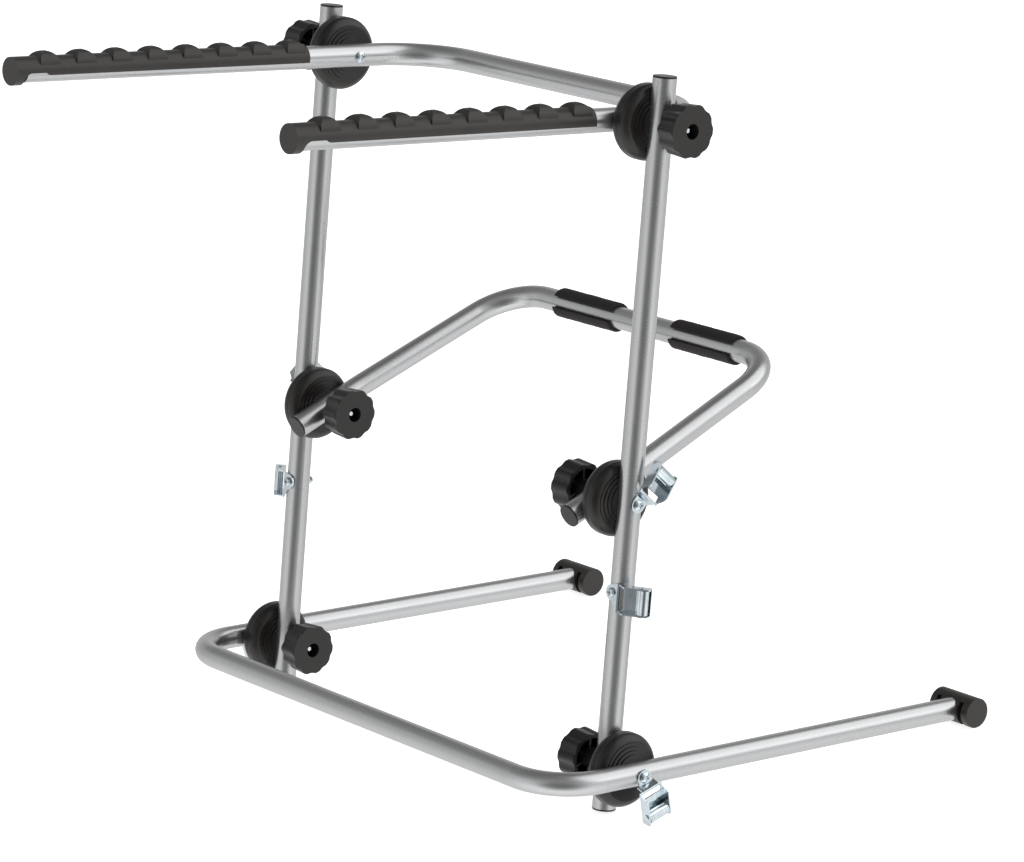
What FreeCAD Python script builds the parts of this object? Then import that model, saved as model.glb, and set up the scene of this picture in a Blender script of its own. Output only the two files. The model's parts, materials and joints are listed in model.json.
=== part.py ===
import FreeCAD, Part
import math
import os

# Tailgate bike rack. Sizes are in millimetres and degrees.
# X runs across the rack, Y towards the vehicle, Z up from the ground it stands on.

# Tubes
tube_dia = 25.0
tube_wall = 1.5
bend_radius = 60.0

# Uprights, measured along the tube from the lowest joint
upright_x = 277.5
upright_lean = 7.1
upright_below = 48.5
support_joint_up = 276.0
carrier_joint_up = 665.0
upright_above = 49.8

# Distance between the axes of the two tubes that a clamp joint holds
joint_pitch = 44.5

# Bumper frame, outside the uprights
bumper_front = 108.5
bumper_reach = 461.5

# Support frame, inside the uprights
support_rise = 19.4
support_stub = 47.0
support_reach = 274.0
support_half_width = 221.5
support_toe_start = 45.0
support_toe_radius = 200.0

# Carrier frame, inside the uprights
carrier_rise = 5.7
carrier_reach = 429.0
carrier_back = 103.0
carrier_bend = 72.0

# Clamp joint halves
clamp_radius = 39.5
clamp_rim = 4.0
clamp_shoulder = 12.6
clamp_chamfer = 0.3
ring_radius = 31.0
ring_width = 4.0
ring_step = 1.2
ring_count = 4
mate_gap = 0.1
spigot_inner = 11.0
spigot_outer = 16.0
spigot_height = 2.0
spigot_clear = 0.3
seat_clear = 0.1

# Joint bolt, knob and nut
bolt_dia = 6.0
bolt_clear = 0.1
head_dia = 12.0
head_height = 3.6
head_seat = 0.05
recess_width = 1.4
recess_span = 6.4
recess_depth = 1.8
knob_front = 36.0
knob_depth = 24.0
knob_radius = 28.0
knob_wave = 1.05
knob_taper = 1.6
knob_lobes = 10
knob_wall = 3.2
knob_plate = 4.0
knob_edge = 1.6
knob_ribs = 6
knob_rib_width = 2.0
knob_rib_setback = 5.0
hub_radius = 10.5
hub_gap = 0.3
knob_hole_radius = 8.0
bolt_end_depth = 7.0
nut_flats = 10.0
nut_height = 5.0
nut_seat = 10.0
nut_clear = 0.05

# Plug caps
cap_flange = 2.0
cap_plug = 14.0
cap_clear = 0.05
cap_edge = 0.8
cap_wall = 1.8

# Bike cradles
cradle_radius = 15.0
cradle_cap = 4.0
cradle_slip = {"left": 10.5, "right": 0.0}
cradle_start = 59.0
cradle_sleeve = 10.0
cradle_notch_end = 38.0
cradle_notch_level = -1.0
cradle_notch_round = 8.0
cradle_edge_level = -3.6
cradle_tab_round = 2.4
crest_first = 40.8
crest_pitch = 45.13
crest_top = 20.3
crest_round = 12.2
crest_arch = 13.3

# Rubber feet
foot_radius = 16.5
foot_length = 57.0
foot_block = 28.0
foot_disc = 8.5
foot_slot_front = 3.0
foot_slot_top = 11.5
foot_arch = 1.6
foot_tube_in = 8.0

# Foam pads on the support frame
pad_radius = 16.75
pad_length = 96.0
pad_centre = {"left": -90.0, "right": 106.0}
pad_slot = 12.0
pad_slot_rise = 16.0

# Cam buckles: u along the webbing, v across it, w away from what carries them
sheet = 1.5
buckle_width = 29.5
buckle_length = 36.0
swivel_gap = 0.3
lug_radius = 8.5
ramp_start = 7.2
ramp_end = 10.5
ramp_height = 7.0
ramp_width = 22.0
body_tilt = 9.0
slot_start = 1.8
slot_length = 7.0
slot_width = 25.0
cheek_start = 2.0
cheek_slant = 4.0
cheek_height = 11.0
cheek_round = 3.0
pin_u = 26.5
pin_w = 6.3
pin_dia = 4.0
pin_clear = 0.06
rivet_dia = 6.4
rivet_height = 1.0
cam_radius = 4.2
cam_tooth = 0.7
cam_teeth = 4
cam_tooth_step = 22.0
cam_tooth_first = 185.0
lever_side_gap = 0.5
lever_end = 34.5
lever_thickness = 1.8
lever_rise = 0.8
lever_lip = 3.5
support_buckle_angle = 45.0
bumper_buckle_angle = -76.0
side_buckle_up = 183.0
side_bend = 38.0
side_bend_start = 8.0
side_drop = 4.5
screw_dia = 5.0
screw_head_dia = 10.0
screw_head_height = 3.0
screw_nut_flats = 8.0
screw_nut_height = 4.0
screw_tail = 2.0

# Places worked out from the sizes above
tube_radius = tube_dia / 2
bore_radius = tube_radius - tube_wall
upright_top = carrier_joint_up + upright_above
carrier_x = upright_x - joint_pitch
support_x = upright_x - joint_pitch
bumper_x = upright_x + joint_pitch
lean = math.radians(upright_lean)
low_joint_z = upright_below * math.cos(lean) + tube_radius * math.sin(lean)
bumper_drop = math.degrees(math.asin((low_joint_z - foot_radius) / bumper_reach))
cradle_tip = carrier_reach + cradle_cap
knob_back = knob_front - knob_depth
lug_stack = swivel_gap + sheet

X_AXIS = FreeCAD.Vector(1, 0, 0)
Y_AXIS = FreeCAD.Vector(0, 1, 0)
Z_AXIS = FreeCAD.Vector(0, 0, 1)
ORIGIN = FreeCAD.Vector(0, 0, 0)


def vec(x, y, z):
    return FreeCAD.Vector(x, y, z)


def joint_place(up):
    """Y and Z of a point on the uprights' axis, at a distance up the tube."""
    return up * math.sin(lean), low_joint_z + up * math.cos(lean)


def front_and_rear():
    """The foremost and rearmost Y of the whole rack."""
    joint_y, joint_z = joint_place(carrier_joint_up)
    rise = math.radians(carrier_rise)
    tip = cradle_tip + max(cradle_slip.values())
    front = joint_y - tip * math.cos(rise) - cradle_radius * math.sin(rise)
    rear = bumper_reach * math.cos(math.radians(bumper_drop)) + foot_radius
    return front, rear


def moved(shape, x=0.0, y=0.0, z=0.0):
    copy = shape.copy()
    copy.translate(vec(x, y, z))
    return copy


def turned(shape, angle, axis=X_AXIS):
    copy = shape.copy()
    copy.rotate(ORIGIN, axis, angle)
    return copy


def mirrored(shape):
    return shape.mirror(ORIGIN, X_AXIS)


def on_upright(shape, up):
    """Puts a piece, built with its tube along Z, at a height on the uprights."""
    joint_y, joint_z = joint_place(up)
    return moved(turned(shape, -upright_lean), 0, joint_y, joint_z)


def on_frame(shape, up, angle):
    """Puts a piece, built with its arms along Y, on the joint at a height."""
    joint_y, joint_z = joint_place(up)
    return moved(turned(shape, angle), 0, joint_y, joint_z)


def side_copies(shape):
    """The right-hand piece as built, and its mirror image for the left."""
    return {"left": mirrored(shape), "right": shape}


def rod(radius, start, end, axis=X_AXIS):
    """A solid cylinder about an axis through the origin."""
    return Part.makeCylinder(radius, end - start, axis * start, axis)


def block(x_range, y_range, z_range):
    size = [high - low for low, high in (x_range, y_range, z_range)]
    return Part.makeBox(*size, vec(x_range[0], y_range[0], z_range[0]))


def prism(points, low, high, axis):
    """A polygon's face, extruded along an axis between two levels."""
    corners = [point + axis * low for point in points]
    face = Part.Face(Part.makePolygon(corners + [corners[0]]))
    return face.extrude(axis * (high - low))


def hexagon(flats, start, end, axis=X_AXIS):
    """A hexagonal prism about an axis, for nuts and their pockets."""
    corner = flats / 2 / math.cos(math.radians(30))
    across = Z_AXIS if axis == X_AXIS else X_AXIS
    other = axis.cross(across)
    points = []
    for k in range(6):
        turn = math.radians(60 * k)
        points.append(across * (corner * math.cos(turn)) + other * (corner * math.sin(turn)))
    return prism(points, start, end, axis)


def rounded_path(points, radii):
    """Straight runs joined by tangent arcs, one radius for each inner point."""
    edges = []
    last = points[0]
    for before, corner, after, radius in zip(points, points[1:], points[2:], radii):
        back = (before - corner).normalize()
        ahead = (after - corner).normalize()
        half = back.getAngle(ahead) / 2
        middle = (back + ahead).normalize()
        start = corner + back * (radius / math.tan(half))
        end = corner + ahead * (radius / math.tan(half))
        crown = corner + middle * (radius / math.sin(half) - radius)
        edges.append(Part.LineSegment(last, start).toShape())
        edges.append(Part.Arc(start, crown, end).toShape())
        last = end
    edges.append(Part.LineSegment(last, points[-1]).toShape())
    return Part.Wire(edges)


def tube_along(points, radii):
    """A bent tube with an open bore, swept along rounded runs."""
    path = rounded_path(points, radii)
    along = (points[1] - points[0]).normalize()
    solids = []
    for radius in (tube_radius, bore_radius):
        ring = Part.Wire(Part.makeCircle(radius, points[0], along))
        solids.append(path.makePipeShell([ring], True, False))
    return solids[0].cut(solids[1])


def bolt_holes(x, y=0.0):
    """The pair of holes, right and left, for the joint bolts of a frame."""
    reach = tube_radius + 1
    hole = rod(bolt_dia / 2 + bolt_clear, x - reach, x + reach)
    return moved(hole.fuse(mirrored(hole)), 0, y, 0)


def upright():
    """One straight upright, with its joint holes and the side buckle's hole."""
    low = cap_flange - upright_below
    high = upright_top - cap_flange
    tube = rod(tube_radius, low, high, Z_AXIS).cut(rod(bore_radius, low, high, Z_AXIS))
    for up in (0.0, support_joint_up, carrier_joint_up):
        reach = tube_radius + 1
        hole = rod(bolt_dia / 2 + bolt_clear, -reach, reach)
        tube = tube.cut(moved(hole, 0, 0, up))
    hole = rod(screw_dia / 2 + bolt_clear, -tube_dia, tube_dia, Y_AXIS)
    return tube.cut(moved(hole, 0, 0, side_buckle_up))


def bumper_frame():
    """The lower U, whose bar runs in front and whose arms end in the feet."""
    rear = bumper_reach + foot_tube_in
    points = [
        vec(-bumper_x, rear, 0),
        vec(-bumper_x, -bumper_front, 0),
        vec(bumper_x, -bumper_front, 0),
        vec(bumper_x, rear, 0),
    ]
    return tube_along(points, [bend_radius] * 2).cut(bolt_holes(bumper_x))


def support_frame():
    """The middle U, whose arms toe in a little behind the joints."""
    stub = cap_flange - support_stub
    points = [
        vec(-support_x, stub, 0),
        vec(-support_x, support_toe_start, 0),
        vec(-support_half_width, support_reach, 0),
        vec(support_half_width, support_reach, 0),
        vec(support_x, support_toe_start, 0),
        vec(support_x, stub, 0),
    ]
    radii = [support_toe_radius, bend_radius, bend_radius, support_toe_radius]
    return tube_along(points, radii).cut(bolt_holes(support_x))


def carrier_frame():
    """The top U, whose arms carry the bikes in front of the uprights."""
    points = [
        vec(-carrier_x, -carrier_reach, 0),
        vec(-carrier_x, carrier_back, 0),
        vec(carrier_x, carrier_back, 0),
        vec(carrier_x, -carrier_reach, 0),
    ]
    return tube_along(points, [carrier_bend] * 2).cut(bolt_holes(carrier_x))


def plug_cap():
    """A plug for an open tube end: the flange's outer face is at Z = 0, the plug below."""
    flange = rod(tube_radius, -cap_flange, 0, Z_AXIS)
    rim = [edge for edge in flange.Edges if edge.BoundBox.ZMin > -cap_edge / 2]
    flange = flange.makeFillet(cap_edge, rim)
    plug = rod(bore_radius - cap_clear, -cap_flange - cap_plug, -cap_flange, Z_AXIS)
    hollow = rod(bore_radius - cap_wall, -cap_flange - cap_plug, -cap_flange, Z_AXIS)
    lead = plug.Edges
    lead = [edge for edge in lead if edge.BoundBox.ZMax < -cap_flange - cap_plug / 2]
    return flange.fuse(plug.makeChamfer(cap_edge, lead).cut(hollow))


def clamp_half(with_spigot):
    """Half of a clamp joint: mating face at X = 0, tube along Z at half the joint pitch."""
    mate = mate_gap / 2
    hole = bolt_dia / 2 + bolt_clear
    rim_points = [
        vec(mate, 0, hole),
        vec(mate, 0, clamp_radius - clamp_chamfer),
        vec(mate + clamp_chamfer, 0, clamp_radius),
        vec(clamp_rim, 0, clamp_radius),
    ]
    crown = vec(
        clamp_rim + 0.66 * (clamp_shoulder - clamp_rim),
        0,
        ring_radius + 0.64 * (clamp_radius - ring_radius),
    )
    shoulder = vec(clamp_shoulder, 0, ring_radius)
    ring_points = [shoulder]
    for ring in range(ring_count):
        level = clamp_shoulder + (ring + 1) * ring_step
        radius = ring_radius - ring * ring_width
        ring_points.append(vec(level, 0, radius))
        if ring < ring_count - 1:
            ring_points.append(vec(level, 0, radius - ring_width))
    ring_points.append(vec(clamp_shoulder + ring_count * ring_step, 0, hole))
    ring_points.append(rim_points[0])
    edges = Part.makePolygon(rim_points).Edges
    edges.append(Part.Arc(rim_points[-1], crown, shoulder).toShape())
    edges.extend(Part.makePolygon(ring_points).Edges)
    half = Part.Face(Part.Wire(edges)).revolve(ORIGIN, X_AXIS, 360)
    saddle = rod(tube_radius + seat_clear, -2 * clamp_radius, 2 * clamp_radius, Z_AXIS)
    half = half.cut(moved(saddle, joint_pitch / 2))
    if with_spigot:
        ring = rod(spigot_outer, mate - spigot_height, mate + 1)
        return half.fuse(ring.cut(rod(spigot_inner, mate - spigot_height, mate + 1)))
    depth = mate + spigot_height
    pocket = rod(spigot_outer + spigot_clear, 0, depth)
    return half.cut(pocket.cut(rod(spigot_inner - spigot_clear, 0, depth)))


def joint_bolt(reach):
    """A bolt along X: the underside of its domed head is at X = 0."""
    dome_rise = head_height * 0.6
    straight = head_height - dome_rise
    profile = [
        Part.makeLine(vec(0, 0, 0), vec(0, 0, head_dia / 2)),
        Part.makeLine(vec(0, 0, head_dia / 2), vec(-straight, 0, head_dia / 2)),
        Part.Arc(
            vec(-straight, 0, head_dia / 2),
            vec(-straight - 0.8 * dome_rise, 0, head_dia * 0.27),
            vec(-head_height, 0, 0),
        ).toShape(),
        Part.makeLine(vec(-head_height, 0, 0), vec(0, 0, 0)),
    ]
    head = Part.Face(Part.Wire(profile)).revolve(ORIGIN, X_AXIS, 360)
    half_width = recess_width / 2
    half_span = recess_span / 2
    depth = (-head_height - 1, recess_depth - head_height)
    slot = block(depth, (-half_span, half_span), (-half_width, half_width))
    head = head.cut(slot.fuse(turned(slot, 90)))
    shank = rod(bolt_dia / 2, 0, reach)
    tip = [edge for edge in shank.Edges if edge.BoundBox.XMin > reach - 1]
    return head.fuse(shank.makeChamfer(bolt_dia / 8, tip))


def knob_outline(x, radius):
    """A closed line of round lobes and hollows in the plane of X."""
    quarter = math.pi / 2 / knob_lobes

    def at(step, reach):
        turn = step * quarter
        return vec(x, reach * math.cos(turn), reach * math.sin(turn))

    arcs = []
    between = radius - knob_wave
    for lobe in range(knob_lobes):
        first = 4 * lobe
        arcs.append(Part.Arc(at(first - 1, between), at(first, radius), at(first + 1, between)))
        hollow = at(first + 2, radius - 2 * knob_wave)
        arcs.append(Part.Arc(at(first + 1, between), hollow, at(first + 3, between)))
    return Part.Wire([arc.toShape() for arc in arcs])


def knob():
    """A star knob along X: the tube's surface is at X = 0, the open back faces it."""
    back = knob_outline(knob_back, knob_radius - knob_taper)
    front = knob_outline(knob_front, knob_radius)
    body = Part.makeLoft([back, front], True, True)
    round_start = knob_front - knob_edge
    face_radius = knob_radius - knob_edge
    slant = knob_edge * math.sqrt(0.5)
    edges = Part.makePolygon([
        vec(knob_front, 0, face_radius),
        vec(knob_front, 0, 0),
        vec(knob_back, 0, 0),
        vec(knob_back, 0, knob_radius),
        vec(round_start, 0, knob_radius),
    ]).Edges
    middle = vec(round_start + slant, 0, face_radius + slant)
    edges.append(Part.Arc(vec(round_start, 0, knob_radius), middle, vec(knob_front, 0, face_radius)).toShape())
    body = body.common(Part.Face(Part.Wire(edges)).revolve(ORIGIN, X_AXIS, 360))
    inner = knob_radius - knob_taper - 2 * knob_wave - knob_wall
    plate_back = knob_front - knob_plate
    body = body.cut(rod(inner, knob_back - 1, plate_back))
    body = body.fuse(rod(hub_radius, hub_gap, plate_back + knob_plate / 2))
    for k in range(knob_ribs):
        rib = block(
            (knob_back + knob_rib_setback, plate_back + knob_plate / 2),
            (-knob_rib_width / 2, knob_rib_width / 2),
            (hub_radius - 1, inner + knob_wall / 2),
        )
        body = body.fuse(turned(rib, 360 * k / knob_ribs))
    body = body.cut(rod(knob_hole_radius, nut_seat + nut_height, knob_front + 1))
    body = body.cut(hexagon(nut_flats + 2 * nut_clear, nut_seat, nut_seat + nut_height + 1))
    return body.cut(rod(bolt_dia / 2 + bolt_clear, 0, nut_seat + 1))


def knob_nut():
    """The hexagon nut in the knob's pocket, at the knob's own place."""
    nut = hexagon(nut_flats, nut_seat, nut_seat + nut_height)
    return nut.cut(rod(bolt_dia / 2 + pin_clear, nut_seat, nut_seat + nut_height))


def cradle_underside():
    """What is cut away below the strip: a notch with a round corner, then the lower edge."""
    low = -cradle_radius - 1
    notch_corner = cradle_sleeve - cradle_tip
    notch_end = cradle_notch_end - cradle_tip
    open_end = 1 - cradle_start
    ceiling = cradle_notch_level
    slope = cradle_notch_round * (1 - math.sqrt(0.5))
    tab = cradle_tab_round
    tab_slope = tab * (1 - math.sqrt(0.5))
    level = cradle_edge_level
    bend_low = vec(0, notch_corner, ceiling - cradle_notch_round)
    bend_mid = vec(0, notch_corner + slope, ceiling - slope)
    bend_top = vec(0, notch_corner + cradle_notch_round, ceiling)
    tab_top = vec(0, notch_end, ceiling)
    tab_high = vec(0, notch_end, level + tab)
    tab_mid = vec(0, notch_end + tab_slope, level + tab_slope)
    tab_low = vec(0, notch_end + tab, level)
    edges = Part.makePolygon([vec(0, notch_corner, low), bend_low]).Edges
    edges.append(Part.Arc(bend_low, bend_mid, bend_top).toShape())
    edges.extend(Part.makePolygon([bend_top, tab_top, tab_high]).Edges)
    edges.append(Part.Arc(tab_high, tab_mid, tab_low).toShape())
    last = [tab_low, vec(0, open_end, level), vec(0, open_end, low), vec(0, notch_corner, low)]
    edges.extend(Part.makePolygon(last).Edges)
    face = Part.Face(Part.Wire(edges))
    face.translate(vec(-2 * cradle_radius, 0, 0))
    return face.extrude(X_AXIS * (4 * cradle_radius))


def crest(y):
    """One crest on top of the strip: a half disc across the tube, rounded off along it."""
    across = rod(crest_round, -cradle_radius, cradle_radius)
    along = rod(crest_arch, -crest_round, crest_round, Y_AXIS)
    hump = moved(across, 0, y, crest_top - crest_round)
    hump = hump.common(moved(along, 0, y, crest_top - crest_arch))
    root = (0, crest_top)
    return hump.common(block((-crest_arch, crest_arch), (y - crest_round, y + crest_round), root))


def bike_cradle():
    """A moulded strip of crests with an end cap, round the arm of the carrier frame."""
    strip = rod(cradle_radius, -cradle_tip, -cradle_start, Y_AXIS)
    crests = 1 + int((cradle_tip - cradle_start - crest_first - crest_round) / crest_pitch)
    for k in range(crests):
        strip = strip.fuse(crest(crest_first + k * crest_pitch - cradle_tip))
    strip = strip.cut(rod(tube_radius + seat_clear, -carrier_reach, 0, Y_AXIS))
    strip = strip.cut(cradle_underside())
    return moved(strip, carrier_x)


def foot():
    """A T-shaped foot: a round bar along X with a socket for the arm, arm towards -Y."""
    half = foot_length / 2
    bar = rod(foot_radius, -half, half)
    rims = [edge for edge in bar.Edges if edge.BoundBox.XLength < 1]
    bar = bar.makeFillet(1.0, rims)
    inner = foot_block / 2
    outer = half - foot_disc
    low = -foot_radius - 1
    for sign in (-1, 1):
        span = sorted((sign * inner, sign * outer))
        bar = bar.cut(block(span, (low, -foot_slot_front), (low, foot_slot_top)))
    arch = block((-outer, outer), (low, -low), (low, foot_arch - foot_radius))
    bar = bar.cut(arch)
    return bar.cut(rod(tube_radius + seat_clear, -tube_dia, foot_tube_in, Y_AXIS))


def foam_pad(side):
    """A split foam sleeve on the bar of the support frame."""
    half = pad_length / 2
    sleeve = rod(pad_radius, -half, half).cut(rod(tube_radius + seat_clear, -half, half))
    slot = block((-half, half), (-2 * pad_radius, 0), (-pad_slot / 2, pad_slot / 2))
    slot = turned(slot, -pad_slot_rise - support_rise)
    return moved(sleeve.cut(slot), pad_centre[side], support_reach)


def sheet_plate(outline):
    """A flat piece of sheet in the plane of u and v, its middle at w = 0."""
    points = [vec(0, u, v) for u, v in outline]
    return prism(points, -sheet / 2, sheet / 2, X_AXIS)


def sheet_strip(start, length, width):
    """A straight strip of sheet along u."""
    half = width / 2
    outline = [(start, -half), (start + length, -half), (start + length, half), (start, half)]
    return sheet_plate(outline)


def buckle_cheek():
    """The side wall of a buckle: upright sheet with a slanted front and round top corners."""
    top = cheek_height
    soft = cheek_round * (1 - math.sqrt(0.5))
    base = vec(0, cheek_start, 0)
    brow = vec(top - cheek_round, cheek_start + cheek_slant, 0)
    brow_mid = vec(top - soft, cheek_start + cheek_slant + soft, 0)
    crown = vec(top, cheek_start + cheek_slant + cheek_round, 0)
    rear = vec(top, buckle_length - cheek_round, 0)
    rear_mid = vec(top - soft, buckle_length - soft, 0)
    heel = vec(top - cheek_round, buckle_length, 0)
    end = vec(0, buckle_length, 0)
    edges = Part.makePolygon([end, base, brow]).Edges
    edges.append(Part.Arc(brow, brow_mid, crown).toShape())
    edges.append(Part.makeLine(crown, rear))
    edges.append(Part.Arc(rear, rear_mid, heel).toShape())
    edges.append(Part.makeLine(heel, end))
    face = Part.Face(Part.Wire(edges))
    face.translate(vec(0, 0, buckle_width / 2 - sheet))
    return face.extrude(Z_AXIS * sheet)


def buckle_body():
    """The base with its slot, the two cheeks and the riveted pin. X is w, Y is u, Z is v."""
    half = buckle_width / 2
    body = sheet_strip(0, buckle_length, buckle_width)
    body = body.fuse(rod(sheet / 2, -half, half, Z_AXIS))
    cheek = buckle_cheek()
    body = body.fuse(cheek)
    body = body.fuse(cheek.mirror(ORIGIN, Z_AXIS))
    slot_half = slot_width / 2
    span = (slot_start, slot_start + slot_length)
    body = body.cut(block((-sheet, sheet), span, (-slot_half, slot_half)))
    pin = rod(pin_dia / 2, -half, half, Z_AXIS)
    for level in (-half - rivet_height, half):
        pin = pin.fuse(rod(rivet_dia / 2, level, level + rivet_height, Z_AXIS))
    return body.fuse(moved(pin, pin_w, pin_u))


def on_swivel_lug(shape):
    """From a buckle's own place to the top of the ramp beside a joint bolt."""
    return moved(turned(shape, body_tilt, Z_AXIS), sheet / 2 + ramp_height, ramp_end)


def swivel_buckle():
    """A buckle whose lug turns on a joint bolt: a ramp lifts the body off the tube."""
    lug = moved(rod(lug_radius, -sheet / 2, sheet / 2), 0)
    lug = lug.fuse(sheet_strip(0, ramp_start, 2 * lug_radius))
    run = ramp_end - ramp_start
    slope = math.degrees(math.atan2(ramp_height, run))
    length = math.hypot(ramp_height, run)
    ramp = sheet_strip(0, length, ramp_width)
    bend = ramp_width / 2
    ramp = ramp.fuse(rod(sheet / 2, -bend, bend, Z_AXIS))
    lug = lug.fuse(moved(turned(ramp, -slope, Z_AXIS), 0, ramp_start))
    lug = moved(lug, sheet / 2).fuse(on_swivel_lug(buckle_body()))
    return lug.cut(rod(bolt_dia / 2 + bolt_clear, -1, sheet + 1))


def on_side_lug(shape):
    """From a buckle's own place to the bend beside its screw on the upright's front."""
    shape = moved(turned(shape, side_bend, Z_AXIS), sheet / 2, side_bend_start)
    return turned(moved(shape, 0, 0, -side_drop), -90, Z_AXIS)


def side_buckle():
    """A buckle held by a screw on the front of the upright, its body bent round the tube."""
    half = buckle_width / 2
    outline = [
        (0, -lug_radius),
        (side_bend_start, -half - side_drop),
        (side_bend_start, half - side_drop),
        (0, lug_radius),
    ]
    lug = sheet_plate(outline).fuse(rod(lug_radius, -sheet / 2, sheet / 2))
    lug = turned(moved(lug, sheet / 2), -90, Z_AXIS)
    frame = lug.fuse(on_side_lug(buckle_body()))
    return frame.cut(rod(screw_dia / 2 + bolt_clear, -sheet - 1, 1, Y_AXIS))


def buckle_lever():
    """The cam lever of a buckle: toothed drum on the pin and a thumb plate, closed."""
    inner = buckle_width / 2 - sheet - lever_side_gap
    drum = rod(cam_radius, -inner, inner, Z_AXIS)
    for k in range(cam_teeth):
        turn = math.radians(cam_tooth_first + k * cam_tooth_step)
        across = vec(math.sin(turn), math.cos(turn), 0)
        along = vec(across.y, -across.x, 0)
        root = cam_radius - cam_tooth
        tooth = [
            across * root - along * cam_tooth,
            across * (cam_radius + cam_tooth),
            across * root + along * cam_tooth,
        ]
        drum = drum.fuse(prism(tooth, -inner, inner, Z_AXIS))
    drum = moved(drum, pin_w, pin_u)
    top = pin_w + cam_radius
    thick = lever_thickness
    heel = vec(top - thick, pin_u - thick, 0)
    brow = vec(top, pin_u, 0)
    crown = vec(top + lever_rise, (pin_u + lever_end) / 2, 0)
    lip = vec(top - lever_lip, lever_end, 0)
    under = vec(top - lever_lip, lever_end - thick, 0)
    hollow = vec(crown.x - thick, crown.y - thick / 2, 0)
    edges = [Part.makeLine(heel, brow), Part.Arc(brow, crown, lip).toShape()]
    edges.append(Part.makeLine(lip, under))
    edges.append(Part.Arc(under, hollow, heel).toShape())
    face = Part.Face(Part.Wire(edges))
    face.translate(vec(0, 0, -inner))
    plate = face.extrude(Z_AXIS * 2 * inner)
    lever = drum.fuse(plate)
    return lever.cut(moved(rod(pin_dia / 2 + pin_clear, -inner, inner, Z_AXIS), pin_w, pin_u))


def side_screw():
    """The screw of a side buckle, along Y: its head's underside is at Y = 0."""
    reach = tube_dia + lug_stack + head_seat + screw_nut_height + screw_tail
    shank = rod(screw_dia / 2, 0, reach, Y_AXIS)
    head = rod(screw_head_dia / 2, -screw_head_height, 0, Y_AXIS)
    rim = [edge for edge in head.Edges if edge.BoundBox.YMax < -screw_head_height / 2]
    head = head.makeFillet(screw_head_height * 0.6, rim)
    half_width = recess_width / 2
    half_span = recess_span / 2
    depth = (-screw_head_height - 1, recess_depth - screw_head_height)
    slot = block((-half_span, half_span), depth, (-half_width, half_width))
    return head.cut(slot.fuse(turned(slot, 90, Y_AXIS))).fuse(shank)


def side_nut():
    """The nut behind the upright, its front face touching the tube."""
    nut = hexagon(screw_nut_flats, 0, screw_nut_height, Y_AXIS)
    return nut.cut(rod(screw_dia / 2 + pin_clear, -1, screw_nut_height + 1, Y_AXIS))


def save(name, *solids):
    """Writes one node: its solids, with the rack's footprint centred on the origin."""
    front, rear = front_and_rear()
    placed = [moved(solid, 0, -(front + rear) / 2) for solid in solids]
    shape = placed[0] if len(placed) == 1 else Part.makeCompound(placed)
    shape.exportStep("parts/" + name + ".step")


def save_sides(name, shape):
    for side, piece in side_copies(shape).items():
        save(name + "_" + side, piece)


def save_uprights():
    save_sides("upright", moved(on_upright(upright(), 0), upright_x))
    cap = plug_cap()
    save_sides("upright_cap_top", moved(on_upright(moved(cap, 0, 0, upright_top), 0), upright_x))
    low_cap = moved(turned(cap, 180), 0, 0, -upright_below)
    save_sides("upright_cap_bottom", moved(on_upright(low_cap, 0), upright_x))


def save_frames():
    save("bumper_frame", on_frame(bumper_frame(), 0, -bumper_drop))
    save("support_frame", on_frame(support_frame(), support_joint_up, support_rise))
    save("carrier_frame", on_frame(carrier_frame(), carrier_joint_up, -carrier_rise))
    stub_cap = moved(turned(plug_cap(), 90), support_x, -support_stub)
    save_sides("support_cap", on_frame(stub_cap, support_joint_up, support_rise))
    arm_foot = moved(foot(), bumper_x, bumper_reach)
    save_sides("foot", on_frame(arm_foot, 0, -bumper_drop))
    for side in ("left", "right"):
        cradle = moved(side_copies(bike_cradle())[side], 0, -cradle_slip[side])
        save("bike_cradle_" + side, on_frame(cradle, carrier_joint_up, -carrier_rise))
        pad = on_frame(foam_pad(side), support_joint_up, support_rise)
        save("foam_pad_" + side, pad)


def save_joint(name, up, angle, arm_x, knob_on_upright):
    """The clamp halves, bolts, knobs and nuts of one frame's pair of joints."""
    outward = 1 if arm_x > upright_x else -1
    middle = (arm_x + upright_x) / 2
    arm_half = turned(clamp_half(True), 90)
    upright_half = clamp_half(False)
    if outward > 0:
        upright_half = mirrored(upright_half)
    else:
        arm_half = mirrored(arm_half)
    save_sides(name + "_clamp_arm", on_frame(moved(arm_half, middle), up, angle))
    save_sides(name + "_clamp_post", on_upright(moved(upright_half, middle), up))

    # The knob stands on the far side of one tube, the bolt's head on the other
    knob_x = upright_x if knob_on_upright else arm_x
    head_x = arm_x if knob_on_upright else upright_x
    knob_way = 1 if knob_x > head_x else -1
    washer = head_seat
    if name != "carrier":
        washer += lug_stack
    head_face = head_x - knob_way * (tube_radius + washer)
    knob_face = knob_x + knob_way * tube_radius
    end = knob_face + knob_way * (knob_front - bolt_end_depth)
    bolt = joint_bolt(abs(end - head_face))
    grip = knob()
    nut = knob_nut()
    if knob_way < 0:
        bolt = mirrored(bolt)
        grip = mirrored(grip)
        nut = mirrored(nut)
    bolt = on_upright(moved(bolt, head_face), up)
    save(name + "_joint_bolts", mirrored(bolt), bolt)
    save_sides(name + "_knob", on_upright(moved(grip, knob_face), up))
    save_sides(name + "_knob_nut", on_upright(moved(nut, knob_face), up))


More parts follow.
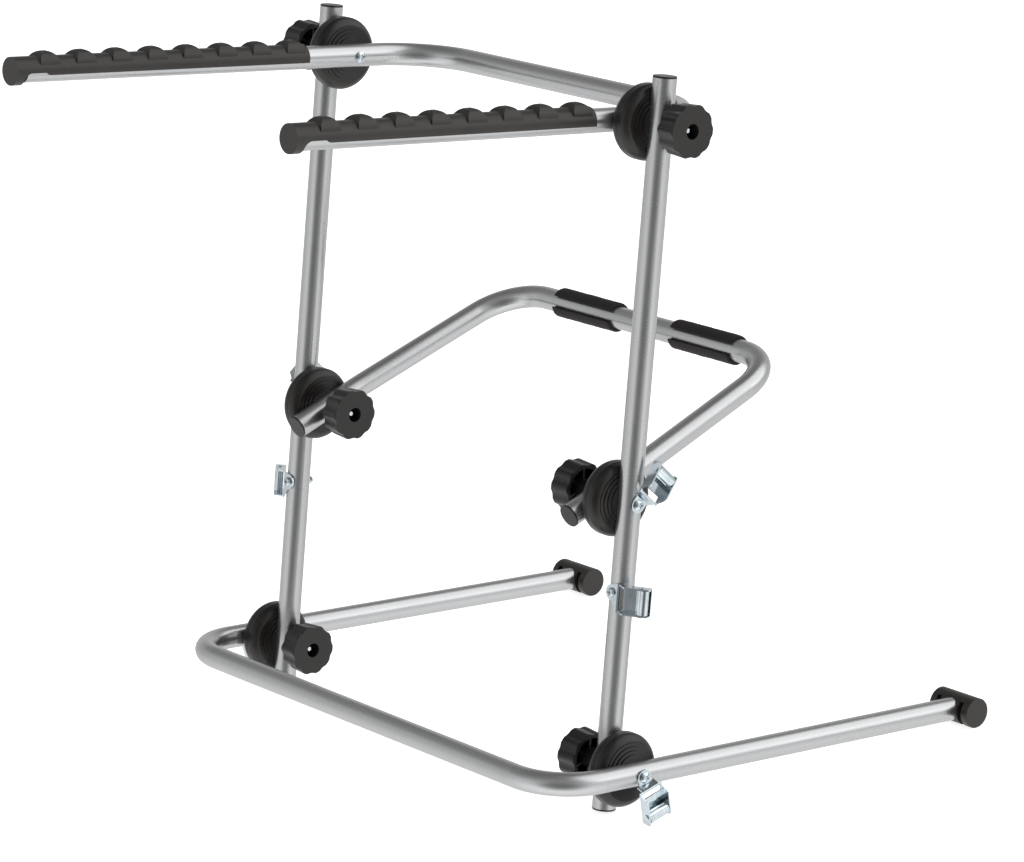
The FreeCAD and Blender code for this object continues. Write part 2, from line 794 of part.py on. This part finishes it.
def save_buckles():
    swivel_frame = swivel_buckle()
    swivel_lever = on_swivel_lug(buckle_lever())
    for name, up, x, angle in (
        ("support_buckle", support_joint_up, upright_x, support_buckle_angle),
        ("bumper_buckle", 0.0, bumper_x, bumper_buckle_angle),
    ):
        face = x + tube_radius + swivel_gap
        save_sides(name, on_frame(moved(swivel_frame, face), up, angle))
        save_sides(name + "_lever", on_frame(moved(swivel_lever, face), up, angle))
    front = -tube_radius - swivel_gap
    save_sides("side_buckle", on_upright(moved(side_buckle(), upright_x, front, side_buckle_up), 0))
    side_lever = on_side_lug(buckle_lever())
    save_sides("side_buckle_lever", on_upright(moved(side_lever, upright_x, front, side_buckle_up), 0))
    head = front - sheet - head_seat
    screw = on_upright(moved(side_screw(), upright_x, head, side_buckle_up), 0)
    nut = on_upright(moved(side_nut(), upright_x, tube_radius + head_seat, side_buckle_up), 0)
    save("side_buckle_screws", mirrored(screw), screw)
    save("side_buckle_nuts", mirrored(nut), nut)


os.makedirs("parts", exist_ok=True)
save_uprights()
save_frames()
save_joint("carrier", carrier_joint_up, -carrier_rise, carrier_x, True)
save_joint("support", support_joint_up, support_rise, support_x, False)
save_joint("bumper", 0.0, -bumper_drop, bumper_x, True)
save_buckles()
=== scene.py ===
import bpy
import bmesh
import json
import math
from mathutils import Matrix, Vector, noise as field


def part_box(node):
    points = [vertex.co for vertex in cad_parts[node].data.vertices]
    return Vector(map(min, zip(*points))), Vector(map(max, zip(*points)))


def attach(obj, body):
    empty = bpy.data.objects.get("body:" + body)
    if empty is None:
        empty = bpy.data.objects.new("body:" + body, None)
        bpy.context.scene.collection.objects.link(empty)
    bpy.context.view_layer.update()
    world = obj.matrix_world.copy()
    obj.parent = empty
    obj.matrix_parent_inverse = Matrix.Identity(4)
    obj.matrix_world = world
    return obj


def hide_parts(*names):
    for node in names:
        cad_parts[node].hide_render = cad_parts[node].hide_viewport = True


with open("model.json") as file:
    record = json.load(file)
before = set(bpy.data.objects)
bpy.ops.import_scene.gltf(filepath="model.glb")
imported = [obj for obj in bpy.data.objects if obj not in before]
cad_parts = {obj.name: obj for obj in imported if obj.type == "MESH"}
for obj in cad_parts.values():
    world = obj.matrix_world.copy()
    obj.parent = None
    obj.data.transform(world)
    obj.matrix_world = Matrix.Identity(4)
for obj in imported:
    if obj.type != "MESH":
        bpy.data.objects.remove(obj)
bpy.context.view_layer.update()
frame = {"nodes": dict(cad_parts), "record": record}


def new_material(name):
    mat = bpy.data.materials.new(name)
    mat.use_nodes = True
    tree = mat.node_tree
    shader = tree.nodes["Principled BSDF"]
    return mat, tree, shader


def add_node(tree, kind, **inputs):
    node = tree.nodes.new(kind)
    for key, value in inputs.items():
        node.inputs[key.replace("_", " ")].default_value = value
    return node


def object_coords(tree):
    return tree.nodes.new("ShaderNodeTexCoord").outputs["Object"]


def noise(tree, coords, scale, detail):
    node = add_node(tree, "ShaderNodeTexNoise", Scale=scale, Detail=detail, Roughness=0.55)
    tree.links.new(coords, node.inputs["Vector"])
    return node.outputs["Fac"]


def ramp(tree, fac, stops, curve="LINEAR"):
    """A colour ramp; each stop is a place and a grey value or a colour."""
    node = tree.nodes.new("ShaderNodeValToRGB")
    node.color_ramp.interpolation = curve
    elements = node.color_ramp.elements
    while len(elements) < len(stops):
        elements.new(0.5)
    for element, (place, colour) in zip(elements, stops):
        rgb = colour if isinstance(colour, tuple) else (colour, colour, colour)
        element.position = place
        element.color = (*rgb, 1.0)
    tree.links.new(fac, node.inputs["Fac"])
    return node.outputs["Color"]


def vary(tree, shader, socket, value, stops):
    """Let a socket of the shader follow a value through a ramp."""
    tree.links.new(ramp(tree, value, stops), shader.inputs[socket])


def add_grain(tree, shader, coords, scale, strength, depth):
    """A fine bump over the whole surface, its depth in metres."""
    node = add_node(tree, "ShaderNodeBump", Strength=strength, Distance=depth)
    tree.links.new(noise(tree, coords, scale, 2.0), node.inputs["Height"])
    tree.links.new(node.outputs["Normal"], shader.inputs["Normal"])


def make_tube_paint():
    """Silver paint with fine flake, slightly uneven sheen."""
    mat, tree, shader = new_material("silver_paint")
    coords = object_coords(tree)
    flake = add_node(tree, "ShaderNodeTexVoronoi", Scale=2600.0)
    tree.links.new(coords, flake.inputs["Vector"])
    cloud = noise(tree, coords, 9.0, 4.0)
    shades = [(0.0, (0.455, 0.46, 0.465)), (1.0, (0.555, 0.56, 0.565))]
    vary(tree, shader, "Base Color", flake.outputs["Color"], shades)
    vary(tree, shader, "Roughness", cloud, [(0.3, 0.24), (0.7, 0.31)])
    add_grain(tree, shader, coords, 1400.0, 0.10, 0.0004)
    shader.inputs["Metallic"].default_value = 0.92
    return mat


def make_black(name, dark, pale, sheen, grain, specular):
    """Moulded black plastic, rubber or foam: a fine grain, and a faint cloud in colour and sheen."""
    mat, tree, shader = new_material(name)
    coords = object_coords(tree)
    cloud = noise(tree, coords, 24.0, 4.0)
    vary(tree, shader, "Base Color", cloud, [(0.3, dark), (0.7, pale)])
    vary(tree, shader, "Roughness", cloud, [(0.3, sheen[0]), (0.7, sheen[1])])
    add_grain(tree, shader, coords, grain[0], grain[1], 0.0004)
    shader.inputs["Specular IOR Level"].default_value = specular
    return mat


def make_zinc():
    """Bright bluish zinc plating with a fine grain."""
    mat, tree, shader = new_material("zinc_plate")
    coords = object_coords(tree)
    cloud = noise(tree, coords, 60.0, 3.0)
    shades = [(0.3, (0.50, 0.57, 0.60)), (0.7, (0.68, 0.75, 0.79))]
    vary(tree, shader, "Base Color", cloud, shades)
    vary(tree, shader, "Roughness", cloud, [(0.3, 0.07), (0.7, 0.15)])
    add_grain(tree, shader, coords, 700.0, 0.15, 0.0003)
    shader.inputs["Metallic"].default_value = 1.0
    return mat


foam = make_black(
    "black_foam",
    dark=(0.016, 0.014, 0.014),
    pale=(0.026, 0.023, 0.022),
    sheen=(0.75, 0.9),
    grain=(420.0, 0.6),
    specular=0.3,
)
FINISH = {
    "tube": make_tube_paint(),
    "plastic": make_black(
        "black_plastic",
        dark=(0.010, 0.009, 0.008),
        pale=(0.016, 0.014, 0.013),
        sheen=(0.26, 0.38),
        grain=(900.0, 0.2),
        specular=0.4,
    ),
    "rubber": make_black(
        "black_rubber",
        dark=(0.016, 0.014, 0.012),
        pale=(0.026, 0.023, 0.020),
        sheen=(0.36, 0.48),
        grain=(700.0, 0.3),
        specular=0.45,
    ),
    "foam": foam,
    "zinc": make_zinc(),
}

slots = {part["node"]: part["material_slot"] for part in frame["record"]["subparts"]}
for name, obj in frame["nodes"].items():
    obj.data.materials.clear()
    obj.data.materials.append(FINISH[slots[name]])


# Foam pads: a split sleeve pushed over the bar, cut a little unevenly, with soft edges
FOAM_WALL = 0.0040
FOAM_SLOT = 0.0120
FOAM_SLOT_RISE = math.radians(16.0)
FOAM_EDGE = 0.0012
FOAM_EDGE_ANGLE = math.radians(50.0)
FOAM_ROUND = 60
FOAM_ALONG = 56
FOAM_SWELL = 0.00035
FOAM_SWELL_SCALE = 90


def foam_rings(x, axis, outer, inner):
    """The outer and the inner arc of the sleeve's section at one place along the bar."""
    arcs = []
    for radius in (outer, inner):
        gap = math.asin(FOAM_SLOT / 2 / radius)
        arc = []
        for j in range(FOAM_ROUND + 1):
            angle = math.pi - FOAM_SLOT_RISE + gap + (2 * math.pi - 2 * gap) * j / FOAM_ROUND
            way = Vector((0.0, math.cos(angle), math.sin(angle)))
            place = Vector((x, axis.y, axis.z)) + way * radius
            swell = FOAM_SWELL * field.noise(place * FOAM_SWELL_SCALE) if radius == outer else 0.0
            arc.append(place + way * swell)
        arcs.append(arc)
    return arcs


def foam_sleeve(node):
    """A split sleeve along X in the place of a plain pad; its slot opens to the front."""
    low, high = (Vector(corner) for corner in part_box(node))
    half = (high.z - low.z) / 2
    axis = Vector((0.0, high.y - half, (high.z + low.z) / 2))
    mesh = bmesh.new()
    rows = []
    for i in range(FOAM_ALONG + 1):
        x = low.x + (high.x - low.x) * i / FOAM_ALONG
        arcs = foam_rings(x, axis, half - FOAM_SWELL, half - FOAM_WALL)
        rows.append([[mesh.verts.new(point) for point in arc] for arc in arcs])
    for near, far in zip(rows, rows[1:]):
        for j in range(FOAM_ROUND):
            mesh.faces.new((near[0][j], far[0][j], far[0][j + 1], near[0][j + 1]))
            mesh.faces.new((near[1][j], near[1][j + 1], far[1][j + 1], far[1][j]))
        mesh.faces.new((near[0][0], near[1][0], far[1][0], far[0][0]))
        mesh.faces.new((near[0][-1], far[0][-1], far[1][-1], near[1][-1]))
    first, last = rows[0], rows[-1]
    for j in range(FOAM_ROUND):
        mesh.faces.new((first[0][j], first[0][j + 1], first[1][j + 1], first[1][j]))
        mesh.faces.new((last[0][j], last[1][j], last[1][j + 1], last[0][j + 1]))
    bmesh.ops.recalc_face_normals(mesh, faces=mesh.faces)
    data = bpy.data.meshes.new(node + "_sleeve")
    mesh.to_mesh(data)
    mesh.free()
    data.shade_smooth()
    data.materials.append(foam)
    piece = bpy.data.objects.new(node + "_sleeve", data)
    bpy.context.scene.collection.objects.link(piece)
    bevel = piece.modifiers.new("edge", "BEVEL")
    bevel.width = FOAM_EDGE
    bevel.segments = 3
    bevel.limit_method = "ANGLE"
    bevel.angle_limit = FOAM_EDGE_ANGLE
    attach(piece, "support_frame")
    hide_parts(node)


for name, slot in slots.items():
    if slot == "foam":
        foam_sleeve(name)

# Studio floor: pale and plain, with a little light of its own
FLOOR_HALF = 9.0
FLOOR_CORNERS = [(-1, -1), (1, -1), (1, 1), (-1, 1)]
scene = bpy.context.scene
scene.view_settings.view_transform = "Standard"

mesh = bpy.data.meshes.new("floor")
mesh.from_pydata([(x * FLOOR_HALF, y * FLOOR_HALF, 0) for x, y in FLOOR_CORNERS], [], [(0, 1, 2, 3)])
floor = bpy.data.objects.new("floor", mesh)
scene.collection.objects.link(floor)
floor_mat, tree, shader = new_material("pale_floor")
shader.inputs["Base Color"].default_value = (0.92, 0.92, 0.92, 1.0)
shader.inputs["Roughness"].default_value = 0.9
shader.inputs["Specular IOR Level"].default_value = 0.0
shader.inputs["Emission Color"].default_value = (1.0, 1.0, 1.0, 1.0)
shader.inputs["Emission Strength"].default_value = 0.8
floor.data.materials.append(floor_mat)
floor.visible_glossy = False

# The studio around the rack: dark where the photographer stands and overhead, a soft box to the right
UPWARD = (0, 0, 1)
FRONT = (0.776, -0.631, 0.0)
BOX_WAY = Vector((0.45, 0.60, 0.66)).normalized()
BOX_LIGHT = 1.25
HEIGHT_LIGHT = [(-1, 1.2), (-0.6, 1.15), (-0.3, 1.0), (0.05, 0.78), (0.35, 0.72), (0.6, 0.38), (1, 0.2)]
AROUND_LIGHT = [
    (-1, 0.85),
    (-0.75, 0.78),
    (-0.2, 0.9),
    (0.3, 1.15),
    (0.64, 1.25),
    (0.8, 0.8),
    (0.9, 0.34),
    (1, 0.2),
]

world = bpy.data.worlds.new("studio")
scene.world = world
world.use_nodes = True
tree = world.node_tree
way = tree.nodes.new("ShaderNodeTexCoord").outputs["Generated"]


def light_along(direction, stops):
    """Light as a smooth curve over how far each direction points along the given one, from -1 to 1."""
    reach = tree.nodes.new("ShaderNodeVectorMath")
    reach.operation = "DOT_PRODUCT"
    tree.links.new(way, reach.inputs[0])
    reach.inputs[1].default_value = direction
    fac = tree.nodes.new("ShaderNodeMath")
    fac.operation = "MULTIPLY_ADD"
    tree.links.new(reach.outputs["Value"], fac.inputs[0])
    fac.inputs[1].default_value = 0.5
    fac.inputs[2].default_value = 0.5
    places = [((reach_value + 1) / 2, strength) for reach_value, strength in stops]
    return ramp(tree, fac.outputs["Value"], places, "EASE")


def join(first, second, operation):
    node = tree.nodes.new("ShaderNodeVectorMath")
    node.operation = operation
    tree.links.new(first, node.inputs[0])
    tree.links.new(second, node.inputs[1])
    return node.outputs["Vector"]


height = light_along(UPWARD, HEIGHT_LIGHT)
around = light_along(FRONT, AROUND_LIGHT)
box = light_along(BOX_WAY, [(-1, 0), (0.78, 0), (0.9, BOX_LIGHT), (1, BOX_LIGHT)])
background = tree.nodes["Background"]
tree.links.new(join(join(height, around, "MULTIPLY"), box, "ADD"), background.inputs["Color"])
background.inputs["Strength"].default_value = 1.0

# Camera: place, directions and lens worked out from the tubes' edges
LENS = 167.625
PLACE = Vector((3.841678, -3.042576, 1.696440))
RIGHT = Vector((0.63073866, 0.77576124, -0.01905922))
UP = Vector((-0.19578556, 0.18285535, 0.96344794))
BACK = RIGHT.cross(UP)

camera_data = bpy.data.cameras.new("camera")
camera_data.sensor_fit = "HORIZONTAL"
camera_data.sensor_width = 36.0
camera_data.lens = LENS
camera_data.clip_end = 60.0
camera = bpy.data.objects.new("camera", camera_data)
scene.collection.objects.link(camera)
scene.camera = camera
rows = [(RIGHT[i], UP[i], BACK[i], PLACE[i]) for i in range(3)]
camera.matrix_world = Matrix([*rows, (0, 0, 0, 1)])
